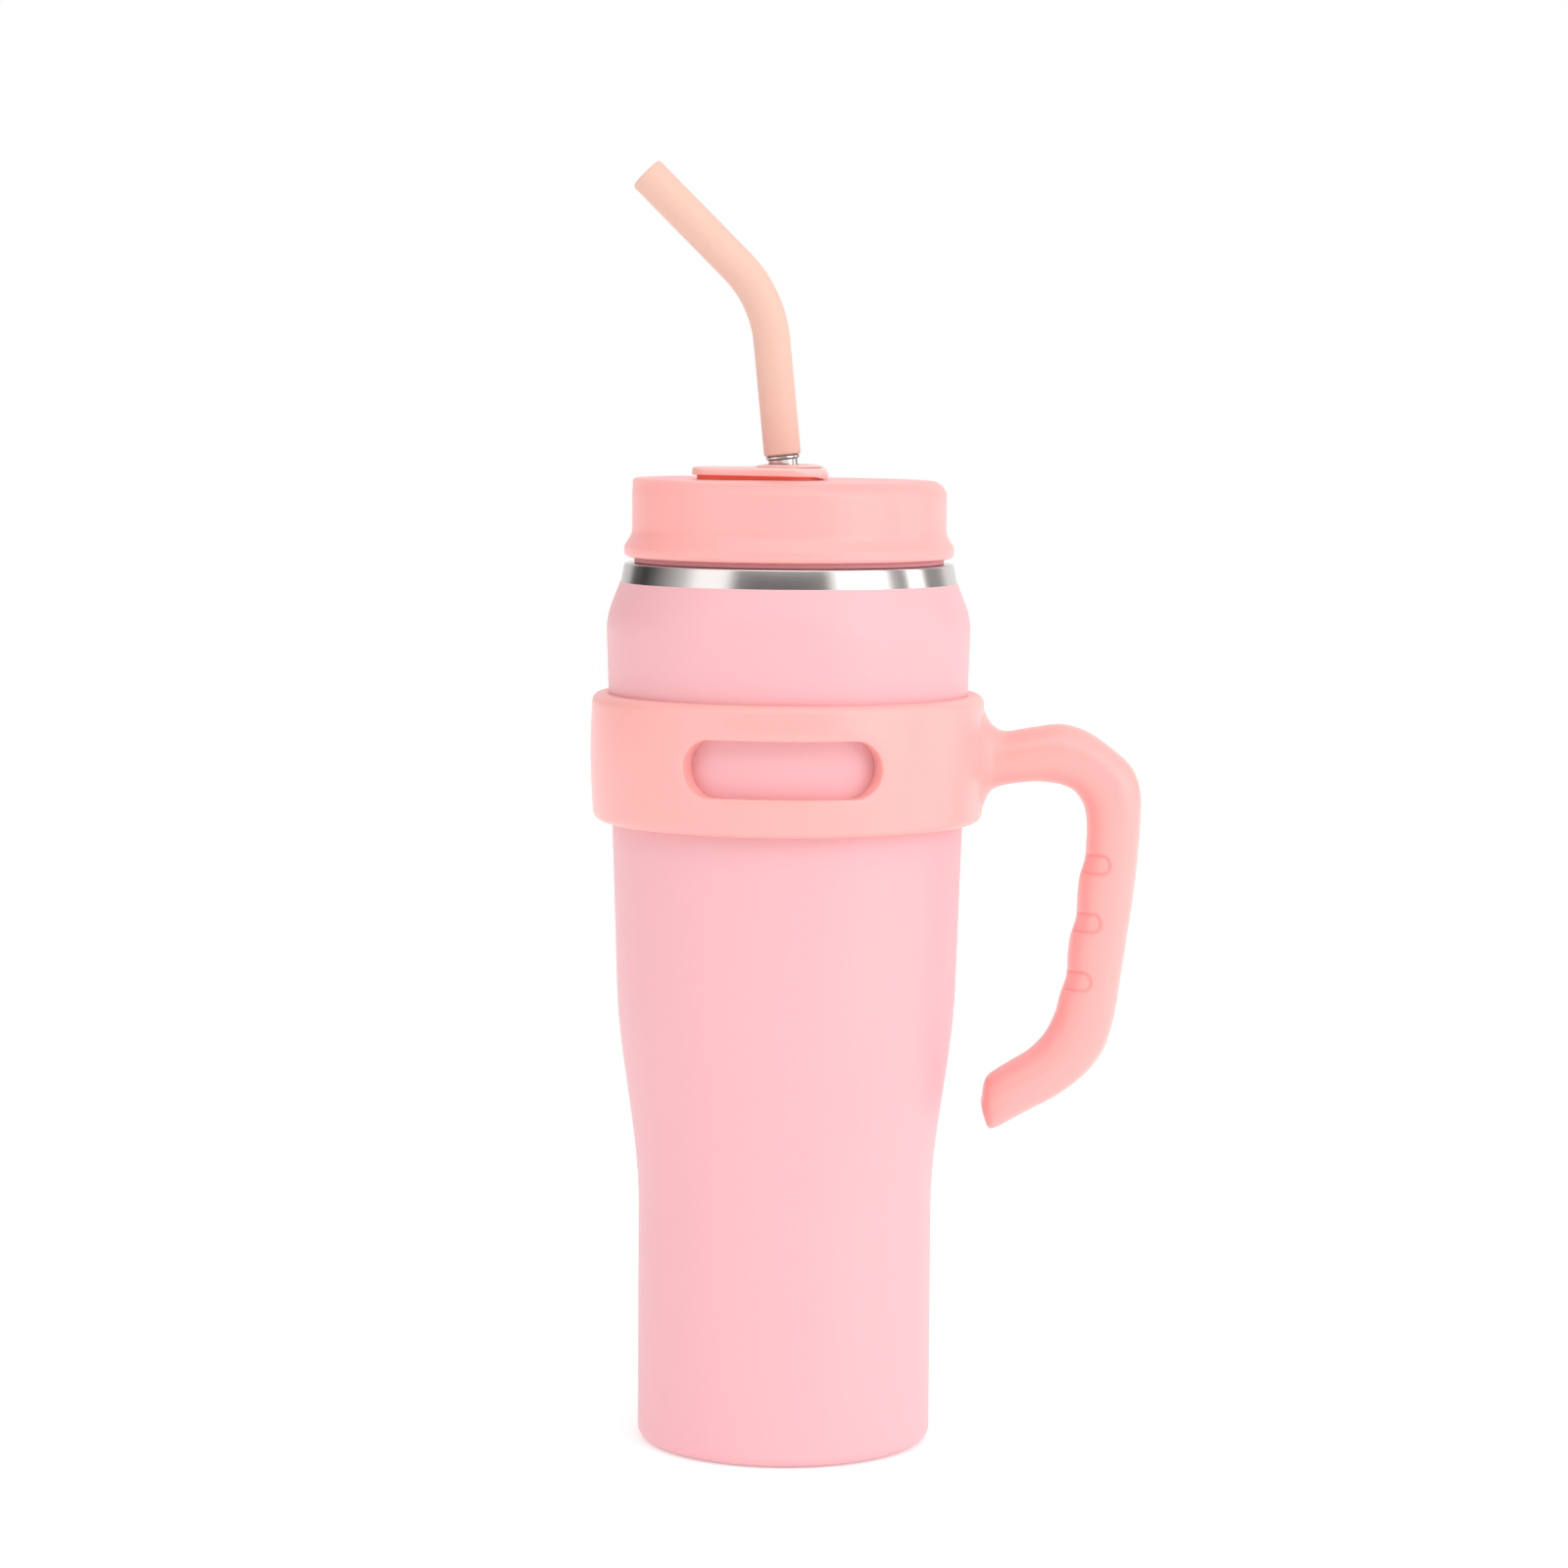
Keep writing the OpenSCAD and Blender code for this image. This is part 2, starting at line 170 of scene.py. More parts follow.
class TumblerColours(bpy.types.PropertyGroup):
    """Colours of the finishes"""

    coat: tint("Coat", "Powder coat of the cup", (0.84, 0.445, 0.475))
    band: tint("Band", "Plastic of the band and grip", (0.93, 0.43, 0.405))
    lid: tint("Lid", "Plastic of the lid", (0.95, 0.405, 0.385))
    cover: tint("Cover", "Plastic of the rotary cover", (0.95, 0.56, 0.53))
    # Coral is partly the seal's own colour and partly painted light: its saturated red stands in for light
    # bounced between pink faces in the gap under the cover, made brighter to offset the shade there
    coral: tint("Coral seal", "Seal under the cover", (1.0, 0.20, 0.11))
    rose: tint("Rose gasket", "Gasket under the lid", (0.82, 0.36, 0.40))
    peach: tint("Peach tip", "Silicone of the straw's tip", (0.78, 0.50, 0.405))
    milk: tint("Milky silicone", "Base pad and grommet", (0.72, 0.66, 0.64))
    steel: tint("Steel", "Bare stainless steel", (0.62, 0.585, 0.57))
    foil: tint("Foil", "Foil round the liner", (0.82, 0.82, 0.83))
    solder: tint("Solder", "Getter and vacuum seal", (0.5, 0.5, 0.51))
    floor: tint("Floor", "Pale floor", (0.92, 0.92, 0.92))


# ---------------- shader groups


def group(name, inputs, outputs):
    """A shader node group with its input and output nodes. A socket with a tuple is a colour."""
    tree = bpy.data.node_groups.new(name, "ShaderNodeTree")
    for side, sockets in (("INPUT", inputs), ("OUTPUT", outputs)):
        for label, value in sockets.items():
            kind = "NodeSocketColor" if isinstance(value, tuple) else "NodeSocketFloat"
            tree.interface.new_socket(label, in_out=side, socket_type=kind).default_value = value
    return tree, tree.nodes.new("NodeGroupInput"), tree.nodes.new("NodeGroupOutput")


def fill(made, **values):
    """Sets properties of a node, or the defaults of its inputs by name."""
    for key, value in values.items():
        if hasattr(made, key):
            setattr(made, key, value)
        else:
            made.inputs[key.replace("_", " ")].default_value = value
    return made


def node(tree, kind, **values):
    return fill(tree.nodes.new(kind), **values)


def maths(tree, operation, *values):
    """The result of a maths node whose inputs are numbers or sockets."""
    made = node(tree, "ShaderNodeMath", operation=operation)
    for socket, value in zip(made.inputs, values):
        if isinstance(value, (int, float)):
            socket.default_value = value
        else:
            tree.links.new(value, socket)
    return made.outputs[0]


def object_point(tree, scale=(1, 1, 1)):
    """Object coordinates, stretched by scale."""
    where = node(tree, "ShaderNodeTexCoord")
    stretch = node(tree, "ShaderNodeMapping", Scale=scale)
    tree.links.new(where.outputs["Object"], stretch.inputs["Vector"])
    return stretch.outputs["Vector"]


def noise_at(tree, point, scale, detail, roughness):
    """The value of a noise at a point, with its scale taken from a socket."""
    made = node(tree, "ShaderNodeTexNoise", Detail=detail, Roughness=roughness)
    tree.links.new(point, made.inputs["Vector"])
    tree.links.new(scale, made.inputs["Scale"])
    return made.outputs["Fac"]


def about_middle(tree, given, value):
    """Turns a noise into a value that varies round the group's Middle by its Spread."""
    centred = maths(tree, "SUBTRACT", value, 0.5)
    return maths(tree, "MULTIPLY_ADD", centred, given.outputs["Spread"], given.outputs["Middle"])


def tone_group():
    """Slight cloudiness of a colour, as pigment and coating thickness vary."""
    tree, given, result = group(
        "uneven tone",
        {"Colour": WHITE, "Deeper Colour": WHITE, "Patch Scale": 30, "Amount": 0.3},
        {"Colour": WHITE},
    )
    cloud = noise_at(tree, object_point(tree), given.outputs["Patch Scale"], 3, 0.55)
    mix = node(tree, "ShaderNodeMix", data_type="RGBA")
    link = tree.links.new
    link(maths(tree, "MULTIPLY", cloud, given.outputs["Amount"]), mix.inputs["Factor"])
    link(given.outputs["Colour"], mix.inputs["A"])
    link(given.outputs["Deeper Colour"], mix.inputs["B"])
    link(mix.outputs["Result"], result.inputs["Colour"])
    return tree


def grain_group():
    """Fine grain: a height for bump and a value that varies round a middle, for roughness."""
    tree, given, result = group(
        "fine grain",
        {"Grain Scale": 900, "Patch Scale": 40, "Middle": 0.4, "Spread": 0.05},
        {"Height": 0, "Roughness": 0},
    )
    point = object_point(tree)
    fine = noise_at(tree, point, given.outputs["Grain Scale"], 2, 0.5)
    broad = noise_at(tree, point, given.outputs["Patch Scale"], 2, 0.6)
    tree.links.new(fine, result.inputs["Height"])
    tree.links.new(about_middle(tree, given, broad), result.inputs["Roughness"])
    return tree


def turned_group():
    """Fine lines that run round a turned steel piece."""
    tree, given, result = group(
        "turned lines",
        {"Line Scale": 9000, "Middle": 0.2, "Spread": 0.1},
        {"Height": 0, "Roughness": 0, "Shade": 0},
    )
    stretched = object_point(tree, (0.012, 0.012, 1))
    lines = noise_at(tree, stretched, given.outputs["Line Scale"], 4, 0.7)
    tree.links.new(lines, result.inputs["Height"])
    tree.links.new(about_middle(tree, given, lines), result.inputs["Roughness"])
    tree.links.new(lines, result.inputs["Shade"])
    return tree


GROUPS = {}


def placed_group(tree, name, **values):
    """Places a shared group, made the first time that it's asked for."""
    makers = {"tone": tone_group, "grain": grain_group, "turned": turned_group}
    if name not in GROUPS:
        GROUPS[name] = makers[name]()
    return node(tree, "ShaderNodeGroup", node_tree=GROUPS[name], **values)


# ---------------- materials


def rgba(colour, factor=1.0):
    return (*[min(1, c * factor) for c in colour], 1)


def blank(name):
    """A material with only its shader and output."""
    made = bpy.data.materials.new(name)
    made.use_nodes = True
    tree = made.node_tree
    tree.nodes.clear()
    shader = tree.nodes.new("ShaderNodeBsdfPrincipled")
    out = tree.nodes.new("ShaderNodeOutputMaterial")
    tree.links.new(shader.outputs["BSDF"], out.inputs["Surface"])
    return made, tree, shader


def bump(tree, shader, height, strength, distance):
    made = node(tree, "ShaderNodeBump", Strength=strength, Distance=distance)
    tree.links.new(height, made.inputs["Height"])
    tree.links.new(made.outputs["Normal"], shader.inputs["Normal"])


def moulded(name, colour, rough, deeper, patch, grain, bumped, specular, glow):
    """Plastic, silicone or powder coat: cloudy colour, fine grain, uneven gloss."""
    made, tree, shader = blank(name)
    link = tree.links.new
    deep = (colour[0] * min(1, deeper + 0.04), colour[1] * deeper, colour[2] * deeper)
    tone = placed_group(
        tree, "tone", Colour=rgba(colour), Deeper_Colour=rgba(deep), Patch_Scale=patch, Amount=0.7
    )
    surface = placed_group(tree, "grain", Grain_Scale=grain, Middle=rough, Spread=0.16 * rough)
    link(tone.outputs["Colour"], shader.inputs["Base Color"])
    link(surface.outputs["Roughness"], shader.inputs["Roughness"])
    bump(tree, shader, surface.outputs["Height"], bumped, 0.0001)
    fill(
        shader, Specular_IOR_Level=specular, Subsurface_Weight=glow,
        Subsurface_Radius=(1, 0.35, 0.3), Subsurface_Scale=3 * MM,
    )
    return made


def turned_steel(name, colour, rough, spread, lines, bumped):
    """Stainless steel with fine lines round it."""
    made, tree, shader = blank(name)
    link = tree.links.new
    turned = placed_group(tree, "turned", Line_Scale=lines, Middle=rough, Spread=spread)
    shade = node(tree, "ShaderNodeMix", data_type="RGBA", A=rgba(colour, 0.94), B=rgba(colour, 1.04))
    link(turned.outputs["Shade"], shade.inputs["Factor"])
    link(shade.outputs["Result"], shader.inputs["Base Color"])
    link(turned.outputs["Roughness"], shader.inputs["Roughness"])
    bump(tree, shader, turned.outputs["Height"], bumped, 0.00005)
    fill(shader, Metallic=1)
    return made


# Moulded and coated finishes: colour, roughness, share of the deeper tone, size of its patches,
# fineness and strength of the grain, gloss, and glow from inside
MOULDED = {
    "powder coat": ("coat", 0.42, 0.96, 22, 2600, 0.10, 0.5, 0),
    "band plastic": ("band", 0.31, 0.97, 34, 1400, 0.03, 0.5, 0.2),
    "lid plastic": ("lid", 0.34, 0.98, 38, 1400, 0.02, 0.5, 0),
    "cover plastic": ("cover", 0.28, 0.95, 60, 1400, 0.05, 0.5, 0),
    # The coral row's colour is partly painted light, the red glow of the gap under the cover
    "coral silicone": ("coral", 0.5, 0.9, 90, 1800, 0.1, 0.5, 0),
    "rose silicone": ("rose", 0.5, 0.9, 90, 1800, 0.1, 0.5, 0),
    "peach silicone": ("peach", 0.55, 0.97, 45, 1200, 0.04, 0.4, 0),
    "milky silicone": ("milk", 0.45, 0.92, 60, 1800, 0.08, 0.5, 0),
}
# Metal finishes: colour, roughness and its spread, fineness and strength of the turned lines
TURNED = {
    "turned rim": ("steel", 0.14, 0.08, 9000, 0.12),
    "liner steel": ("steel", 0.30, 0.16, 6000, 0.2),
    "polished tube": ("steel", 0.09, 0.06, 12000, 0.05),
    "foil": ("foil", 0.16, 0.2, 700, 0.5),
    "solder": ("solder", 0.45, 0.2, 900, 0.4),
}
MADE = {}


def finish_of(name):
    """The named finish, made the first time that it's asked for."""
    if name not in MADE:
        maker, row = (moulded, MOULDED[name]) if name in MOULDED else (turned_steel, TURNED[name])
        colour = getattr(bpy.context.scene.tumbler_colours, row[0])
        MADE[name] = maker(name, colour, *row[1:])
    return MADE[name]


# ---------------- shaping helpers


def corner_arc(a, p, b, radius, steps):
    """Points of the arc that rounds the corner p between a and b."""
    u, v = (a - p).normalized(), (b - p).normalized()
    half = u.angle(v) / 2
    middle = p + (u + v).normalized() * radius / math.sin(half)
    start = p + u * radius / math.tan(half) - middle
    end = p + v * radius / math.tan(half) - middle
    a0 = math.atan2(start.y, start.x)
    turn = (math.atan2(end.y, end.x) - a0 + 3 * math.pi) % (2 * math.pi) - math.pi
    angles = [a0 + turn * k / steps for k in range(steps + 1)]
    return [middle + radius * Vector((math.cos(t), math.sin(t))) for t in angles]


def rounded(path, steps=8, closed=True):
    """An outline whose points may carry a third number, the radius that rounds them."""
    out = []
    count = len(path)
    for i, p in enumerate(path):
        here = Vector(p[:2])
        if len(p) < 3 or p[2] == 0 or (not closed and i in (0, count - 1)):
            out.append(here)
            continue
        before, after = Vector(path[i - 1][:2]), Vector(path[(i + 1) % count][:2])
        out += corner_arc(before, here, after, p[2], steps)
    return out


def linked(name, data):
    """A new object in the scene."""
    made = bpy.data.objects.new(name, data)
    bpy.context.scene.collection.objects.link(made)
    return made


def mesh_from(bm, name):
    """Turns a bmesh into a mesh."""
    mesh = bpy.data.meshes.new(name)
    bm.to_mesh(mesh)
    bm.free()
    return mesh


def mesh_object(bm, name, finish, sharp=35):
    """Turns a bmesh into a smooth-shaded object with its finish."""
    mesh = mesh_from(bm, name)
    mesh.shade_smooth()
    mesh.set_sharp_from_angle(angle=math.radians(sharp))
    mesh.materials.append(finish_of(finish))
    return linked(name, mesh)


def chain(bm, points, closed=True):
    """Edges through points given as (radius, height)."""
    verts = [bm.verts.new((p[0], 0, p[1])) for p in points]
    pairs = zip(verts, verts[1:] + (verts[:1] if closed else []))
    return verts + [bm.edges.new(pair) for pair in pairs]


def ring(bm, points):
    """A closed loop of edges through points."""
    verts = [bm.verts.new(p) for p in points]
    return [bm.edges.new(pair) for pair in zip(verts, verts[1:] + verts[:1])]


def turned(points, closed=True, steps=ROUND):
    """A bmesh of an outline spun once round the upright axis, closed at the axis."""
    bm = bmesh.new()
    outline = chain(bm, points, closed)
    bmesh.ops.spin(
        bm, geom=outline, cent=(0, 0, 0), axis=UP, dvec=(0, 0, 0), angle=2 * math.pi,
        steps=steps, use_merge=True,
    )
    bmesh.ops.remove_doubles(bm, verts=bm.verts, dist=1e-6)
    bmesh.ops.recalc_face_normals(bm, faces=bm.faces)
    return bm


def verts_in(geom):
    return [g for g in geom if isinstance(g, bmesh.types.BMVert)]


def round_of(v):
    """Distance of a vertex from the upright axis."""
    return math.hypot(v.co.x, v.co.y)


def soften(bm, edges, offset, segments):
    """Rounds edges over with a bevel."""
    bmesh.ops.bevel(
        bm, geom=edges, offset=offset, segments=segments, profile=0.5, affect="EDGES", material=-1
    )


def drilled(piece, top, holes, flare=0.4 * MM, deep=3 * MM):
    """Cuts upright holes with a flared edge, given as (x, radius), down from the height top."""
    for x, radius in holes:
        wide = radius + flare
        outline = [(0, -deep), (radius, -deep), (radius, -flare), (wide, 0), (wide, deep), (0, deep)]
        bm = turned(outline, closed=False, steps=64)
        bmesh.ops.translate(bm, verts=bm.verts, vec=(x, 0, top))
        cutter = mesh_from(bm, "cutter")
        drill = linked("drill", cutter)
        cut = piece.modifiers.new("hole", "BOOLEAN")
        cut.operation = "DIFFERENCE"
        cut.solver = "EXACT"
        cut.object = drill
        graph = bpy.context.evaluated_depsgraph_get()
        whole = piece.data
        piece.data = bpy.data.meshes.new_from_object(piece.evaluated_get(graph))
        piece.modifiers.clear()
        bpy.data.objects.remove(drill)
        bpy.data.meshes.remove(cutter)
        bpy.data.meshes.remove(whole)
    piece.data.set_sharp_from_angle(angle=math.radians(40))


def put(piece, body, *replaced, slot):
    """Lets a piece ride on its body and stand for its nodes; the slot is not used."""
    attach(piece, body)
    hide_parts(*replaced)
    return piece


def smooth_step(t):
    t = min(1, max(0, t))
    return t * t * (3 - 2 * t)


# ---------------- the cup


def cup_radius(z):
    """Outside radius of the cup at a height below its shoulder."""
    s = bpy.context.scene.tumbler_cup
    if z <= s.foot_h:
        return s.foot_r
    if z >= s.flare_z:
        return s.flare_r + s.taper * (z - s.flare_z)
    rise = s.flare_z - s.foot_h
    t = (z - s.foot_h) / rise
    flare = (s.flare_r - s.foot_r) * smooth_step(t)
    return s.foot_r + flare + s.taper * rise * t * t * (t - 1)


def shell_line(inset):
    """Outside of the shell, or of a surface inset from it, from the foot to the coat's edge."""
    s = bpy.context.scene.tumbler_cup
    foot = foot_of("outer_shell") + inset
    steps = 30
    heights = [s.foot_h + (s.flare_z - s.foot_h) * k / steps for k in range(steps + 1)]
    straight = [s.foot_h * k / 6 for k in range(1, 6)]
    tapered = [s.flare_z + (s.shoulder_z - 8 * MM - s.flare_z) * k / 10 for k in range(1, 11)]
    return rounded(
        [(s.foot_in, foot), (s.foot_r - inset, foot, s.corner - inset)]
        + [(cup_radius(z) - inset, z) for z in straight + heights + tapered]
        + [(cup_radius(s.shoulder_z) - inset, s.shoulder_z, s.shoulder_round)]
        + [(s.coat_r - inset, s.coat_z)],
        steps=12,
        closed=False,
    )


class TUMBLER_OT_shell(bpy.types.Operator):
    """Make the coated outer shell"""

    bl_idname = "tumbler.shell"
    bl_label = "Outer shell"

    def execute(self, context):
        wall = context.scene.tumbler_cup.wall
        bm = turned(shell_line(0) + shell_line(wall)[::-1])
        piece = mesh_object(bm, "coated_shell", "powder coat", 50)
        put(piece, "cup", "outer_shell", slot="coated_steel")
        return {"FINISHED"}


class TUMBLER_OT_rim(bpy.types.Operator):
    """Make the bare steel rim"""

    bl_idname = "tumbler.rim"
    bl_label = "Steel rim"

    def execute(self, context):
        s = context.scene.tumbler_cup
        mouth = top_of("mouth_ring")
        base_r = s.coat_r - 0.1 * MM
        outline = rounded(
            [
                (base_r - s.wall, s.coat_z), (base_r, s.coat_z), (s.rim_r, mouth, 0.5 * MM),
                (s.neck_r, mouth, 0.25 * MM), (s.neck_r, mouth - s.wall), (s.rim_r - s.wall, mouth - s.wall),
            ],
            steps=6,
        )
        piece = mesh_object(turned(outline), "steel_rim", "turned rim", 50)
        put(piece, "cup", "mouth_ring", slot="bare_steel")
        return {"FINISHED"}


class TUMBLER_OT_base_pad(bpy.types.Operator):
    """Make the grooved pad that the cup stands on"""

    bl_idname = "tumbler.base_pad"
    bl_label = "Base pad"

    def execute(self, context):
        low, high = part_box("base_pad")
        edge = high.y
        groove, half = 0.35 * MM, 0.5 * MM
        outline = [(0, 0)]
        for k in range(1, 6):
            middle = edge * k / 6.2
            outline += [(middle - 2 * half, 0), (middle - half, groove), (middle + half, groove)]
            outline += [(middle + 2 * half, 0)]
        outline += rounded([(edge * 0.9, 0), (edge, 0, 0.4 * MM), (edge, high.z)], 5, closed=False)[1:]
        outline += [(0, high.z)]
        piece = mesh_object(turned(outline, closed=False), "grip_pad", "milky silicone")
        put(piece, "cup", "base_pad", slot="clear_silicone")
        return {"FINISHED"}


class TUMBLER_OT_inner_parts(bpy.types.Operator):
    """Give the carried-over parts inside the cup and lid their finishes"""

    bl_idname = "tumbler.inner_parts"
    bl_label = "Inner parts"

    def execute(self, context):
        finishes = {
            "inner_liner": "liner steel", "shell_base": "liner steel", "vacuum_seal": "solder",
            "getter": "solder", "foil_wrap": "foil", "lid_plug": "lid plastic",
            "straw_grommet": "milky silicone",
        }
        for name, finish in finishes.items():
            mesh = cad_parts[name].data
            mesh.materials.clear()
            mesh.materials.append(finish_of(finish))
        return {"FINISHED"}


# ---------------- the band and grip


def window_half():
    """Half the length of the window's straight sides along the band, and its end radius."""
    s = bpy.context.scene.tumbler_band
    wrapped = 2 * s.belly_r * math.asin(s.window_w / 2 / s.belly_r)
    return (wrapped - s.window_h) / 2, s.window_h / 2


def stadium_point(u, w):
    """The point of the window's outline that answers to the place (u, w) on a square's edge."""
    half, r = window_half()
    if abs(u) < 1:
        along = abs(u) * (half + r * math.pi / 4)
        turn = max(0, along - half) / r
        return math.copysign(min(along, half) + r * math.sin(turn), u), w * r * math.cos(turn)
    return u * (half + r * math.cos(w * math.pi / 4)), r * math.sin(w * math.pi / 4)


def band_radius(z):
    """Outer radius of the band at a height: a slight belly."""
    s = bpy.context.scene.tumbler_band
    t = (z - s.foot_z) / (s.top_z - s.foot_z)
    below = 0.9 * MM * max(0, (0.55 - t) / 0.55) ** 1.6
    above = 0.6 * MM * max(0, (t - 0.55) / 0.45) ** 1.6
    return s.belly_r - below - above


def grow_edges(bm, edges, vec):
    """Extrudes a line of edges, moves the new one along vec and gives its edges."""
    grown = bmesh.ops.extrude_edge_only(bm, edges=edges)["geom"]
    moved = verts_in(grown)
    bmesh.ops.translate(bm, verts=moved, vec=vec)
    fresh = set(moved)
    return [g for g in grown if isinstance(g, bmesh.types.BMEdge) and fresh.issuperset(g.verts)]


def edges_at(bm, test):
    """Edges whose two ends both pass a test of their place."""
    return [e for e in bm.edges if all(test(v.co) for v in e.verts)]


def window_plate(bm, span):
    """Half the band's outer surface laid flat, x along the band and z up, with its window."""
    s = bpy.context.scene.tumbler_band
    middle_z = (s.top_z + s.foot_z) / 2
    window_z = middle_z + s.window_lift
    border = s.edge_r * 1.25
    half_h = (s.top_z - s.foot_z) / 2 - border
    frame_w = 38 * MM
    rows, columns = 12, 48
    places = [(2 * k / columns - 1, -1) for k in range(columns)]
    places += [(1, 2 * k / rows - 1) for k in range(rows)]
    places += [(1 - 2 * k / columns, 1) for k in range(columns)]
    places += [(-1, 1 - 2 * k / rows) for k in range(rows)]
    outer = ring(bm, [(frame_w * u, 0, middle_z + half_h * w) for u, w in places])
    inner = ring(bm, [(x, 0, window_z + z) for x, z in (stadium_point(u, w) for u, w in places)])
    spokes = bmesh.ops.bridge_loops(bm, edges=outer + inner)["edges"]
    bmesh.ops.subdivide_edges(bm, edges=spokes, cuts=5, use_grid_fill=True)
    # The plain stretches beside the window run on from the frame's upright sides
    steps = 24
    for side in (-1, 1):
        line = edges_at(bm, lambda co: abs(co.x - side * frame_w) < SAME)
        for _ in range(steps):
            line = grow_edges(bm, line, (side * (span - frame_w) / steps, 0, 0))
    # One plain border along the top and the bottom leaves room for the rounded edges
    for side in (-1, 1):
        line = edges_at(bm, lambda co: abs(co.z - middle_z - side * half_h) < SAME)
        grow_edges(bm, line, (0, 0, side * border))


def band_mesh():
    """The band: two windowed halves wrapped round the cup, given a wall and rounded edges."""
    s = bpy.context.scene.tumbler_band
    bm = bmesh.new()
    quarter = math.pi / 2 * s.belly_r
    window_plate(bm, quarter)
    front = bm.verts[:] + bm.edges[:] + bm.faces[:]
    copy = bmesh.ops.duplicate(bm, geom=front)["geom"]
    bmesh.ops.translate(bm, verts=verts_in(copy), vec=(2 * quarter, 0, 0))
    window_z = (s.top_z + s.foot_z) / 2 + s.window_lift
    half, r = window_half()
    for v in bm.verts:
        across = v.co.x if v.co.x <= quarter else v.co.x - 2 * quarter
        core = max(-half, min(half, across))
        off = math.hypot(across - core, v.co.z - window_z) - r
        lip = s.lip_h * math.exp(-(((off - 2.2 * MM) / (1.7 * MM)) ** 2))
        turn = v.co.x / s.belly_r
        reach = band_radius(v.co.z) + lip
        v.co = (reach * math.sin(turn), -reach * math.cos(turn), v.co.z)
    bmesh.ops.remove_doubles(bm, verts=bm.verts, dist=1e-5)
    bmesh.ops.recalc_face_normals(bm, faces=bm.faces)
    bmesh.ops.solidify(bm, geom=bm.faces[:], thickness=s.wall)
    limit = s.belly_r - 2.5 * MM  # parts the outside from the inside
    for v in bm.verts:
        flat = Vector((v.co.x, v.co.y))
        if flat.length < limit:
            want = cup_radius(v.co.z) + s.gap
            flat *= want / flat.length
            v.co.x, v.co.y = flat
    bmesh.ops.recalc_face_normals(bm, faces=bm.faces)

    def level(e, z):
        return all(abs(v.co.z - z) < 10 * SAME for v in e.verts)

    def outside_edges(test):
        """Sharp edges of the band's outside that pass a test."""
        return [
            e for e in bm.edges
            if min(map(round_of, e.verts)) > limit and test(e)
            and len(e.link_faces) == 2 and e.calc_face_angle() > 0.6
        ]

    soften(bm, outside_edges(lambda e: level(e, s.top_z) or level(e, s.foot_z)), s.edge_r, 6)
    near = s.window_h / 2 + 0.3 * MM
    soften(bm, outside_edges(lambda e: abs(e.verts[0].co.z - window_z) < near), 0.5 * MM, 4)
    return bm


# Stations of the grip, from inside the band to the tip: outer edge (x, z), inner edge (x, z)
# and half the depth, all in millimetres
GRIP = [
    ((50.4, 203.0), (50.4, 170.6), 16.5),
    ((51.4, 202.2), (51.4, 171.4), 14.4),
    ((52.2, 201.0), (52.2, 172.4), 12.9),
    ((53.1, 199.0), (53.1, 174.2), 11.6),
    ((54.2, 196.8), (54.2, 176.6), 10.7),
    ((55.8, 195.0), (55.8, 178.3), 10.0),
    ((59.0, 193.8), (59.2, 179.4), 9.6),
    ((66.6, 195.0), (65.6, 180.2), 9.4),
    ((74.0, 195.8), (70.2, 180.1), 9.4),
    ((81.0, 193.7), (74.4, 179.3), 9.4),
    ((87.6, 189.2), (77.7, 177.4), 9.4),
    ((93.0, 184.0), (80.0, 173.6), 9.4),
    ((95.3, 177.0), (80.8, 168.8), 9.4),
    ((95.2, 167.0), (80.7, 163.6), 9.4),
    ((94.7, 160.0), (80.4, 159.4), 9.4),
    ((94.2, 154.4), (79.0, 154.2), 9.4),
    ((93.6, 149.0), (78.5, 149.2), 9.4),
    ((92.8, 143.2), (78.2, 143.4), 9.4),
    ((92.0, 137.6), (76.7, 138.2), 9.4),
    ((91.3, 132.6), (76.1, 133.2), 9.4),
    ((90.5, 127.0), (75.8, 127.6), 9.4),
    ((89.6, 120.6), (74.1, 122.2), 9.4),
    ((88.2, 113.6), (72.8, 117.2), 9.4),
    ((85.6, 106.6), (70.2, 111.8), 9.4),
    ((80.4, 100.2), (66.2, 107.4), 9.4),
    ((73.6, 95.0), (61.6, 104.4), 9.3),
    ((66.6, 91.2), (57.4, 101.8), 9.0),
    ((60.8, 87.9), (54.9, 99.9), 8.4),
    ((57.4, 86.0), (53.8, 97.6), 7.4),
    ((55.6, 85.5), (53.3, 94.2), 5.8),
]
GROOVES = [(84.2, 158.6), (81.9, 142.8), (79.5, 127.0)]


def spline(values, t):
    """A smooth curve through evenly spaced values, at t from 0 to 1."""
    last = len(values) - 1
    f = min(last - 1e-9, t * last)
    i = int(f)
    u = f - i
    a, b, c, d = (values[max(0, min(last, i + k))] for k in (-1, 0, 1, 2))
    return 0.5 * (
        2 * b + (c - a) * u + (2 * a - 5 * b + 4 * c - d) * u * u + (3 * b - a - 3 * c + d) * u ** 3
    )


def grip_section(outer, inner, depth, steps):
    """A rounded section between the outer and inner edge: crowned outside, chamfered inside."""
    middle, across = (outer + inner) / 2, (outer - inner) / 2
    out = []
    for k in range(steps):
        t = 2 * math.pi * k / steps
        c, s = math.cos(t), math.sin(t)
        power = 2.5 if c > 0 else 2.35
        reach = (abs(c) ** power + abs(s) ** power) ** (-1 / power)
        place = middle + across * (c * reach)
        out.append(Vector((place.x, depth * s * reach, place.y)))
    return out


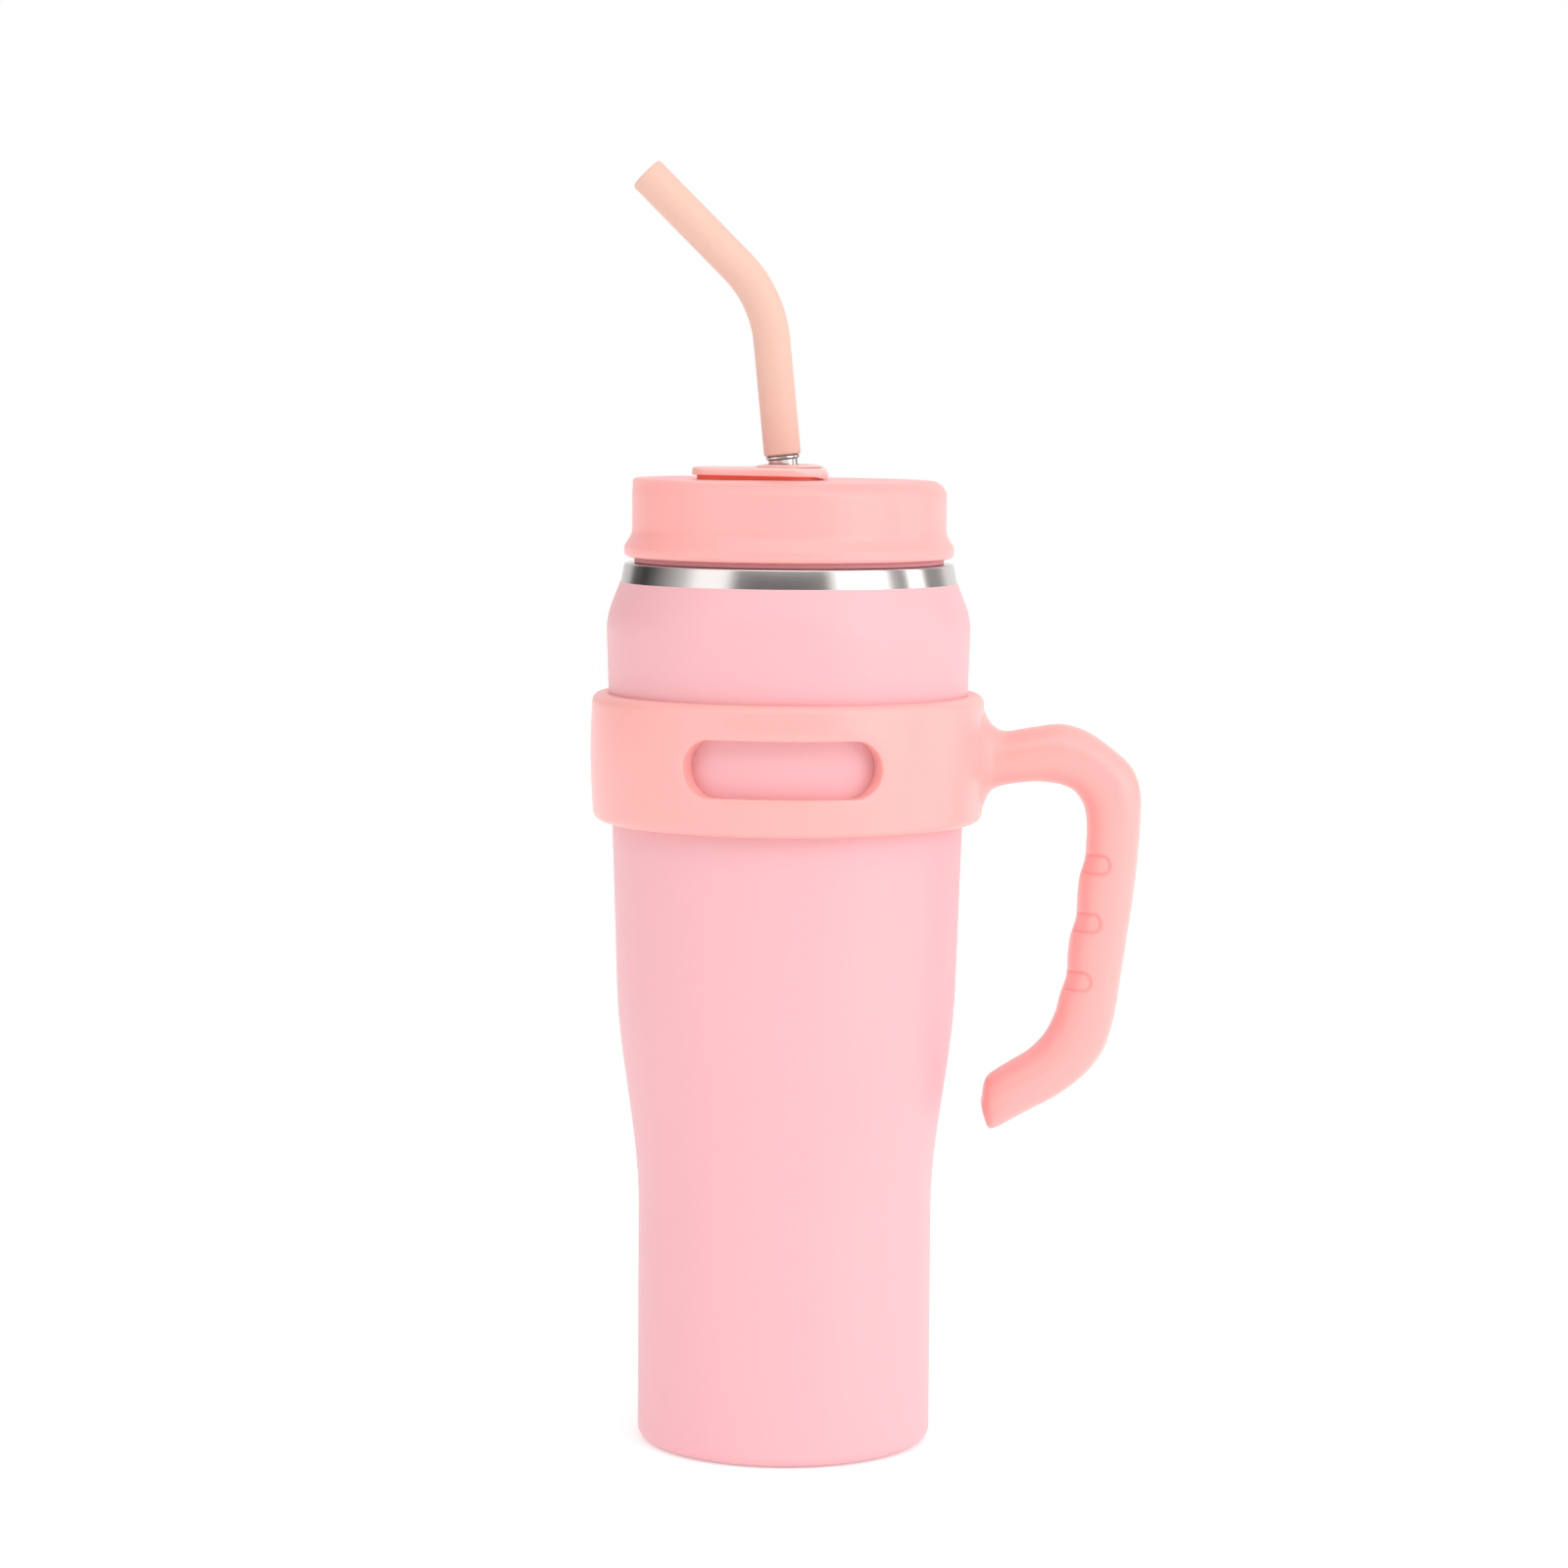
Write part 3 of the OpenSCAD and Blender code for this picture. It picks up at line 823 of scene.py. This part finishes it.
def press_grooves(bm):
    """Presses the finger grooves into the inner side of the grip."""
    s = bpy.context.scene.tumbler_band
    bm.normal_update()
    moves = []
    for v in bm.verts:
        for x, z in GROOVES:
            ahead = max(0, v.co.x - x * MM)
            off = math.hypot(ahead, v.co.z - z * MM)
            inside = 1 - smooth_step((off - s.groove_r + 0.3 * MM) / (0.6 * MM))
            rut = math.exp(-(((off - s.groove_r + 0.2 * MM) / (0.5 * MM)) ** 2))
            front = smooth_step((abs(v.co.y) - 2.5 * MM) / (3 * MM))
            deep = (inside * 0.45 + rut * 0.55) * front
            if deep > 0.01 and v.co.x < (x + 4) * MM and abs(v.co.z - z * MM) < 5 * MM:
                moves.append((v, v.normal * -s.groove_deep * deep))
    for v, move in moves:
        v.co += move


def grip_mesh():
    """The open J-shaped grip, lofted through its stations."""
    bm = bmesh.new()
    around, along = 128, 640
    outers = [Vector(g[0]) * MM for g in GRIP]
    inners = [Vector(g[1]) * MM for g in GRIP]
    depths = [g[2] * MM for g in GRIP]
    rings = []
    for k in range(along + 1):
        t = k / along
        rings.append(grip_section(spline(outers, t), spline(inners, t), spline(depths, t), around))
    # A flat grid is rolled into the grip's skin, and its long sides meet
    bmesh.ops.create_grid(bm, x_segments=along, y_segments=around, size=0.5)
    for v in bm.verts:
        k, j = round((v.co.x + 0.5) * along), round((v.co.y + 0.5) * around)
        v.co = rings[k][j % around]
    bmesh.ops.remove_doubles(bm, verts=bm.verts, dist=SAME)
    ends = [e for e in bm.edges if e.is_boundary]
    cap = bmesh.ops.holes_fill(bm, edges=ends, sides=0)["faces"]
    tip = [f for f in cap if f.calc_center_median().z < 120 * MM]
    for depth, shrink in ((0.5, 0.82), (0.25, 0.55), (0.08, 0.12)):
        bmesh.ops.inset_region(bm, faces=tip, thickness=0)
        middle = tip[0].calc_center_median()
        out = tip[0].normal * depth * MM
        for v in tip[0].verts:
            v.co = middle + (v.co - middle) * shrink + out
    bmesh.ops.recalc_face_normals(bm, faces=bm.faces)
    press_grooves(bm)
    return bm


class TUMBLER_OT_handle(bpy.types.Operator):
    """Make the band with its windows and the open grip"""

    bl_idname = "tumbler.handle"
    bl_label = "Band and grip"

    def execute(self, context):
        band = mesh_object(band_mesh(), "window_band", "band plastic", 40)
        put(band, "handle", "handle_band", slot="band_plastic")
        grip = mesh_object(grip_mesh(), "open_grip", "band plastic", 60)
        put(grip, "handle", "handle_band", slot="band_plastic")
        return {"FINISHED"}


# ---------------- the lid


# The drinking edge: half of its arc and the arc over which it fades, both in degrees, the radius
# where the deck starts to rise to it, and the share of the corner that becomes its upright side
SPOUT_HALF = 40
SPOUT_FADE = 40
RISE_START = 33.5 * MM
UPRIGHT = 0.93


def lid_outline(deck_t=2 * MM):
    """Outline of the lid's shell: up the outside, over the deck, and down the inside."""
    s = bpy.context.scene.tumbler_lid
    foot = foot_of("lid_shell")
    inner_r = s.wall_r - s.thick
    hole = s.bush_r + 0.05 * MM
    under = s.deck_z - deck_t
    outside = rounded(
        [
            (inner_r, foot), (s.lip_r, foot, 1.2 * MM), (s.lip_r, foot + 2.9 * MM, 1.3 * MM),
            (s.wall_r, foot + 6.4 * MM, 5 * MM), (s.wall_r, s.deck_z - 8 * MM),
            (s.wall_r, s.deck_z - 0.2 * MM, s.corner), (33 * MM, s.deck_z),
        ],
        steps=12,
        closed=False,
    )
    deck = [(r * MM, s.deck_z) for r in (30, 27, 24, 21, 18, 15, 12, 10)]
    inside = rounded(
        [(hole, s.deck_z), (hole, under), (inner_r, under, 3.2 * MM), (inner_r, foot)],
        steps=8,
        closed=False,
    )
    return outside + deck + inside


def raise_spout(bm, deck_t=2 * MM):
    """Over the spout's arc, pushes the round top corner out to a crisp and slightly raised edge."""
    s = bpy.context.scene.tumbler_lid
    corner_z = s.deck_z - s.corner - 0.6 * MM
    for v in bm.verts:
        r = round_of(v)
        off = abs(math.degrees(math.atan2(v.co.y, -v.co.x)))
        spout = 1 - smooth_step((off - SPOUT_HALF) / SPOUT_FADE)
        inside = v.co.z < s.deck_z - deck_t + 0.1 * MM and r < s.wall_r - s.thick + 0.2 * MM
        if spout <= 0 or inside or v.co.z < corner_z or r < RISE_START:
            continue
        edge_z = s.deck_z + s.spout_h * smooth_step((r - RISE_START) / (s.wall_r - 0.9 * MM - RISE_START))
        up = min(1, (v.co.z - corner_z) / (s.corner * 0.72))
        want_r, want_z = r, edge_z
        if up < UPRIGHT:
            want_r = max(r, s.wall_r - 0.12 * MM)
            want_z = corner_z + (edge_z - corner_z) * up / UPRIGHT
        v.co.z += (want_z - v.co.z) * spout
        grow = 1 + (want_r / r - 1) * spout
        v.co.x *= grow
        v.co.y *= grow


class TUMBLER_OT_lid(bpy.types.Operator):
    """Make the lid's outer shell, with a round top edge that fades into the drinking edge"""

    bl_idname = "tumbler.lid"
    bl_label = "Lid shell"

    def execute(self, context):
        s = context.scene.tumbler_lid
        bm = turned(lid_outline())
        raise_spout(bm)
        piece = mesh_object(bm, "lid_cap", "lid plastic", 40)
        drilled(piece, s.deck_z, [(-s.sip_x, s.sip_r), (s.vent_x, s.vent_r)])
        put(piece, "lid", "lid_shell", slot="lid_plastic")
        return {"FINISHED"}


class TUMBLER_OT_pivot(bpy.types.Operator):
    """Make the hollow pivot with its low round crown"""

    bl_idname = "tumbler.pivot"
    bl_label = "Pivot bush"

    def execute(self, context):
        s = context.scene.tumbler_lid
        low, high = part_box("pivot_bush")
        crown_r = high.y
        bore = 6.4 * MM
        step = s.cover_z + s.cover_t + 0.08 * MM
        outline = rounded(
            [
                (bore, low.z), (crown_r, low.z, 0.4 * MM), (crown_r, s.deck_z - 2 * MM),
                (s.bush_r, s.deck_z - 2 * MM), (s.bush_r, step), (crown_r, step),
                (crown_r, step + 0.22 * MM, 0.2 * MM), (crown_r - 1.9 * MM, high.z, 2.5 * MM),
                (bore, high.z, 0.3 * MM),
            ],
            steps=6,
        )
        piece = mesh_object(turned(outline, steps=128), "pivot_crown", "cover plastic", 40)
        put(piece, "lid", "pivot_bush", slot="cover_plastic")
        return {"FINISHED"}


def tongue_outline(heel, tip, far, steps=48):
    """The round heel and the narrower tongue, joined by their common tangents."""
    lean = math.acos((heel - tip) / far)
    start = math.pi - lean
    heel_arc = [start - 2 * start * k / steps for k in range(steps + 1)]
    tip_arc = [-start - (2 * math.pi - 2 * start) * k / (steps // 2) for k in range(steps // 2 + 1)]
    out = [Vector((heel * math.cos(t), heel * math.sin(t))) for t in heel_arc]
    out += [Vector((-far + tip * math.cos(t), tip * math.sin(t))) for t in tip_arc]
    return out


def ring_plate(outline, hole, low, high):
    """A flat plate with an outline and a round hole."""
    bm = bmesh.new()
    turns = [math.atan2(p.y, p.x) for p in outline]
    outer = ring(bm, [(p.x, p.y, low) for p in outline])
    inner = ring(bm, [(hole * math.cos(t), hole * math.sin(t), low) for t in turns])
    bmesh.ops.bridge_loops(bm, edges=outer + inner)
    grown = bmesh.ops.extrude_face_region(bm, geom=bm.faces[:])["geom"]
    bmesh.ops.translate(bm, verts=verts_in(grown), vec=(0, 0, high - low))
    bmesh.ops.recalc_face_normals(bm, faces=bm.faces)
    return bm


def outer_rim(bm, z, hole):
    """Edges of a plate's outline at a height, away from its round hole."""

    def on_rim(v):
        return abs(v.co.z - z) < SAME and round_of(v) > hole + 0.5 * MM

    return [
        e for e in bm.edges
        if all(map(on_rim, e.verts)) and len(e.link_faces) == 2 and e.calc_face_angle() > 1
    ]


class TUMBLER_OT_cover(bpy.types.Operator):
    """Make the rotary cover and the coral seal under it; the seal's bright red is partly painted light"""

    bl_idname = "tumbler.cover"
    bl_label = "Rotary cover"

    def execute(self, context):
        s = context.scene.tumbler_lid
        far = s.reach - s.tongue_r
        top = s.cover_z + s.cover_t
        hole = s.bush_r + 0.08 * MM
        bm = ring_plate(tongue_outline(s.heel_r, s.tongue_r, far), hole, s.cover_z, top)
        soften(bm, outer_rim(bm, top, hole), 0.95 * MM, 6)
        soften(bm, outer_rim(bm, s.cover_z, hole), 0.25 * MM, 3)
        # The heel's top falls away outside the crown, and the underside slopes down to the heel
        crown_r = reach_of("pivot_bush")
        for v in bm.verts:
            out = smooth_step((round_of(v) - crown_r) / (s.heel_r - crown_r))
            high = smooth_step((v.co.z - s.cover_z) / (0.6 * s.cover_t))
            v.co.z -= 0.8 * MM * out * high * smooth_step(v.co.x / (6 * MM))
            if abs(v.co.z - s.cover_z) < 0.3 * MM:
                slope = min(1, max(0, (v.co.x + s.reach) / (s.reach + 8 * MM)))
                curl = smooth_step((v.co.x - 6.5 * MM) / (3 * MM))
                v.co.z -= 0.4 * MM * slope * slope + 0.45 * MM * curl
        piece = mesh_object(bm, "tongue_cover", "cover plastic", 40)
        put(piece, "cover", "rotary_cover", slot="cover_plastic")

        # The seal's coral colour is partly painted light: the red glow of the gap under the cover
        inset = 1.3 * MM
        seal_foot = foot_of("cover_gasket")
        outline = tongue_outline(s.heel_r - inset, s.tongue_r - inset, far)
        bm = ring_plate(outline, s.bush_r + 0.3 * MM, seal_foot, s.cover_z)
        piece = mesh_object(bm, "coral_seal", "coral silicone", 40)
        put(piece, "cover", "cover_gasket", slot="coral_silicone")
        return {"FINISHED"}


class TUMBLER_OT_gasket(bpy.types.Operator):
    """Make the rose gasket between the rim and the lid"""

    bl_idname = "tumbler.gasket"
    bl_label = "Lid gasket"

    def execute(self, context):
        low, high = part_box("lid_gasket")
        inner = 38 * MM
        outer = high.y - 0.15 * MM
        edge = 0.35 * MM
        outline = rounded(
            [(inner, low.z), (outer, low.z, edge), (outer, high.z, edge), (inner, high.z)], steps=5
        )
        piece = mesh_object(turned(outline), "rose_gasket", "rose silicone", 40)
        put(piece, "gasket", "lid_gasket", slot="rose_silicone")
        return {"FINISHED"}


# ---------------- the straw


def lean_straw(bm):
    """Stands a piece made along the upright axis on the straw's own leaning axis."""
    s = bpy.context.scene.tumbler_straw
    place = Matrix.Translation((0, 0, s.cross_z)) @ Matrix.Rotation(-s.lean, 4, "Y")
    bmesh.ops.transform(bm, verts=bm.verts, matrix=place)
    return bm


class TUMBLER_OT_straw(bpy.types.Operator):
    """Make the steel tube with its bead"""

    bl_idname = "tumbler.straw"
    bl_label = "Straw tube"

    def execute(self, context):
        s = context.scene.tumbler_straw
        bore = s.tube_r - s.tube_wall
        outline = rounded(
            [
                (bore, s.tube_foot, 0.15 * MM), (s.tube_r, s.tube_foot, 0.15 * MM),
                (s.tube_r, s.bead - 0.55 * MM, 0.2 * MM), (s.bead_r, s.bead - 0.3 * MM, 0.22 * MM),
                (s.bead_r, s.bead + 0.3 * MM, 0.22 * MM), (s.tube_r, s.bead + 0.55 * MM, 0.15 * MM),
                (s.tube_r, s.tube_top), (bore, s.tube_top),
            ],
            steps=5,
        )
        piece = mesh_object(lean_straw(turned(outline, steps=64)), "steel_straw", "polished tube", 50)
        put(piece, "straw", "straw_tube", slot="straw_steel")
        return {"FINISHED"}


def bend_tip(bm):
    """Bends a straight tip towards the drinking side, beyond the start of its bend."""
    s = bpy.context.scene.tumbler_straw
    arc = s.bend_r * s.bend_angle
    for v in bm.verts:
        past = v.co.z - s.bend
        if past <= 0:
            continue
        turn = min(past, arc) / s.bend_r
        reach = s.bend_r + v.co.x
        out = max(0, past - arc)
        v.co.x = -s.bend_r + reach * math.cos(turn) - out * math.sin(turn)
        v.co.z = s.bend + reach * math.sin(turn) + out * math.cos(turn)
    return bm


class TUMBLER_OT_straw_tip(bpy.types.Operator):
    """Make the bent silicone tip"""

    bl_idname = "tumbler.straw_tip"
    bl_label = "Straw tip"

    def execute(self, context):
        s = context.scene.tumbler_straw
        bore, fit = s.tube_r - s.tube_wall, s.tube_r + 0.05 * MM
        arc = s.bend_r * s.bend_angle
        end = s.bend + arc + s.mouth
        rings = 32
        heights = [s.bend + arc * k / rings for k in range(rings + 1)]
        outline = rounded(
            [(fit, s.tip_foot, 0.25 * MM), (s.tip_r, s.tip_foot, 0.55 * MM)]
            + [(s.tip_r, z) for z in heights]
            + [(s.tip_r, end, 0.85 * MM), (bore, end, 0.4 * MM)]
            + [(bore, z) for z in reversed(heights)]
            + [(bore, s.tube_top + 0.4 * MM), (fit, s.tube_top + 0.3 * MM)],
            steps=6,
        )
        piece = mesh_object(lean_straw(bend_tip(turned(outline, steps=80))), "soft_tip", "peach silicone", 50)
        put(piece, "tip", "straw_tip", slot="peach_silicone")
        return {"FINISHED"}


# ---------------- the stage


# Brightness of the studio round the object, from straight behind it, by the left, past the
# camera and by the right to behind again: (share of the turn, brightness)
STUDIO = [
    (0.000, 0.45), (0.105, 0.35), (0.130, 0.08), (0.175, 0.03), (0.205, 0.08), (0.245, 0.22),
    (0.285, 0.40), (0.318, 0.76), (0.376, 0.76), (0.404, 0.16), (0.440, 0.11), (0.520, 0.11),
    (0.575, 0.15), (0.622, 1.40), (0.690, 1.50), (0.718, 0.36), (0.750, 0.18), (0.768, 1.25),
    (0.790, 1.25), (0.812, 0.20), (0.860, 0.22), (0.892, 0.50), (1.000, 0.45),
]
STUDIO_POWER = 2.08

# The camera's place before it is turned round the object, its lens in millimetres, and its angles
# in degrees: round the object, down, and rolled
CAMERA_PLACE = (-0.95 * MM, -1.160, 0.2869)
CAMERA_LENS = 99.0
CAMERA_AROUND = 1.7
CAMERA_DOWN = 5.32
CAMERA_ROLL = 0.40


def studio_world():
    """A ring of soft boxes and dark gaps as the world, with white behind the object."""
    world = bpy.data.worlds.new("studio")
    bpy.context.scene.world = world
    world.use_nodes = True
    tree = world.node_tree
    tree.nodes.clear()
    link = tree.links.new
    where = node(tree, "ShaderNodeTexCoord")
    parts = node(tree, "ShaderNodeSeparateXYZ")
    link(where.outputs["Generated"], parts.inputs[0])
    turn = maths(tree, "ARCTAN2", parts.outputs["X"], maths(tree, "MULTIPLY", parts.outputs["Y"], -1))
    share = maths(tree, "MULTIPLY_ADD", turn, 1 / (2 * math.pi), 0.5)
    ring = node(tree, "ShaderNodeValToRGB")
    stops = ring.color_ramp.elements
    while len(stops) > 1:
        stops.remove(stops[-1])
    stops[0].color = rgba([STUDIO[0][1]] * 3)
    for place, level in STUDIO[1:]:
        stops.new(place).color = (level, level, level, 1)
    link(share, ring.inputs[0])
    # Overhead the ring gives way to one broad soft box, brighter in front
    overhead = node(tree, "ShaderNodeMapRange", From_Min=0.40, From_Max=0.70)
    link(parts.outputs["Z"], overhead.inputs["Value"])
    mixed = node(tree, "ShaderNodeMix", data_type="RGBA")
    front = node(tree, "ShaderNodeMapRange", From_Min=-0.2, From_Max=-0.7, To_Min=0.42, To_Max=1.15)
    link(parts.outputs["Y"], front.inputs["Value"])
    link(front.outputs[0], mixed.inputs["B"])
    link(overhead.outputs[0], mixed.inputs["Factor"])
    link(ring.outputs[0], mixed.inputs["A"])
    light = node(tree, "ShaderNodeBackground", Strength=STUDIO_POWER)
    link(mixed.outputs["Result"], light.inputs["Color"])
    white = node(tree, "ShaderNodeBackground", Color=WHITE, Strength=1)
    seen = node(tree, "ShaderNodeLightPath")
    pick = node(tree, "ShaderNodeMixShader")
    link(seen.outputs["Is Camera Ray"], pick.inputs[0])
    link(light.outputs[0], pick.inputs[1])
    link(white.outputs[0], pick.inputs[2])
    out = node(tree, "ShaderNodeOutputWorld")
    link(pick.outputs[0], out.inputs["Surface"])


class TUMBLER_OT_stage(bpy.types.Operator):
    """Make the pale floor, the soft light and the camera"""

    bl_idname = "tumbler.stage"
    bl_label = "Stage"

    def execute(self, context):
        scene = context.scene
        scene.view_settings.view_transform = "Standard"
        bm = bmesh.new()
        bmesh.ops.create_grid(bm, x_segments=8, y_segments=8, size=6)
        mesh = mesh_from(bm, "floor")
        made, tree, shader = blank("pale floor")
        fill(
            shader, Base_Color=rgba(scene.tumbler_colours.floor), Roughness=0.9, Specular_IOR_Level=0.1,
            Emission_Color=WHITE, Emission_Strength=0.25,
        )
        mesh.materials.append(made)
        floor = linked("floor", mesh)
        studio_world()

        lens = bpy.data.cameras.new("camera")
        lens.lens = CAMERA_LENS
        lens.sensor_width = 36.0
        lens.clip_start = 0.05
        lens.clip_end = 50
        camera = linked("camera", lens)
        turn = Matrix.Rotation(math.radians(CAMERA_AROUND), 4, "Z")
        tilt = Matrix.Rotation(math.radians(90 - CAMERA_DOWN), 4, "X")
        roll = Matrix.Rotation(math.radians(CAMERA_ROLL), 4, "Z")
        camera.matrix_world = turn @ Matrix.Translation(CAMERA_PLACE) @ tilt @ roll
        scene.camera = camera
        return {"FINISHED"}


# ---------------- add-on


class TUMBLER_PT_panel(bpy.types.Panel):
    """Lists the tumbler's pieces in the sidebar"""

    bl_label = "Tumbler"
    bl_idname = "TUMBLER_PT_panel"
    bl_space_type = "VIEW_3D"
    bl_region_type = "UI"
    bl_category = "Tumbler"

    def draw(self, context):
        for operator in OPERATORS:
            self.layout.operator(operator.bl_idname)
        for name, group_type in SETTINGS.items():
            box = self.layout.box()
            box.label(text=group_type.__doc__)
            for key in group_type.__annotations__:
                box.prop(getattr(context.scene, name), key)


OPERATORS = (
    TUMBLER_OT_stage, TUMBLER_OT_shell, TUMBLER_OT_rim, TUMBLER_OT_base_pad, TUMBLER_OT_inner_parts,
    TUMBLER_OT_handle, TUMBLER_OT_gasket, TUMBLER_OT_lid, TUMBLER_OT_pivot, TUMBLER_OT_cover,
    TUMBLER_OT_straw, TUMBLER_OT_straw_tip,
)
SETTINGS = {
    "tumbler_cup": TumblerCupSizes, "tumbler_band": TumblerBandSizes, "tumbler_lid": TumblerLidSizes,
    "tumbler_straw": TumblerStrawSizes, "tumbler_colours": TumblerColours,
}


def register():
    for group_type in SETTINGS.values():
        bpy.utils.register_class(group_type)
    for name, group_type in SETTINGS.items():
        setattr(bpy.types.Scene, name, bpy.props.PointerProperty(type=group_type))
    for operator in OPERATORS:
        bpy.utils.register_class(operator)
    bpy.utils.register_class(TUMBLER_PT_panel)


def unregister():
    bpy.utils.unregister_class(TUMBLER_PT_panel)
    for operator in reversed(OPERATORS):
        bpy.utils.unregister_class(operator)
    for name in SETTINGS:
        delattr(bpy.types.Scene, name)
    for group_type in reversed(list(SETTINGS.values())):
        bpy.utils.unregister_class(group_type)


def main():
    register()
    for operator in OPERATORS:
        family, name = operator.bl_idname.split(".")
        getattr(getattr(bpy.ops, family), name)()


if __name__ == "__main__":
    main()
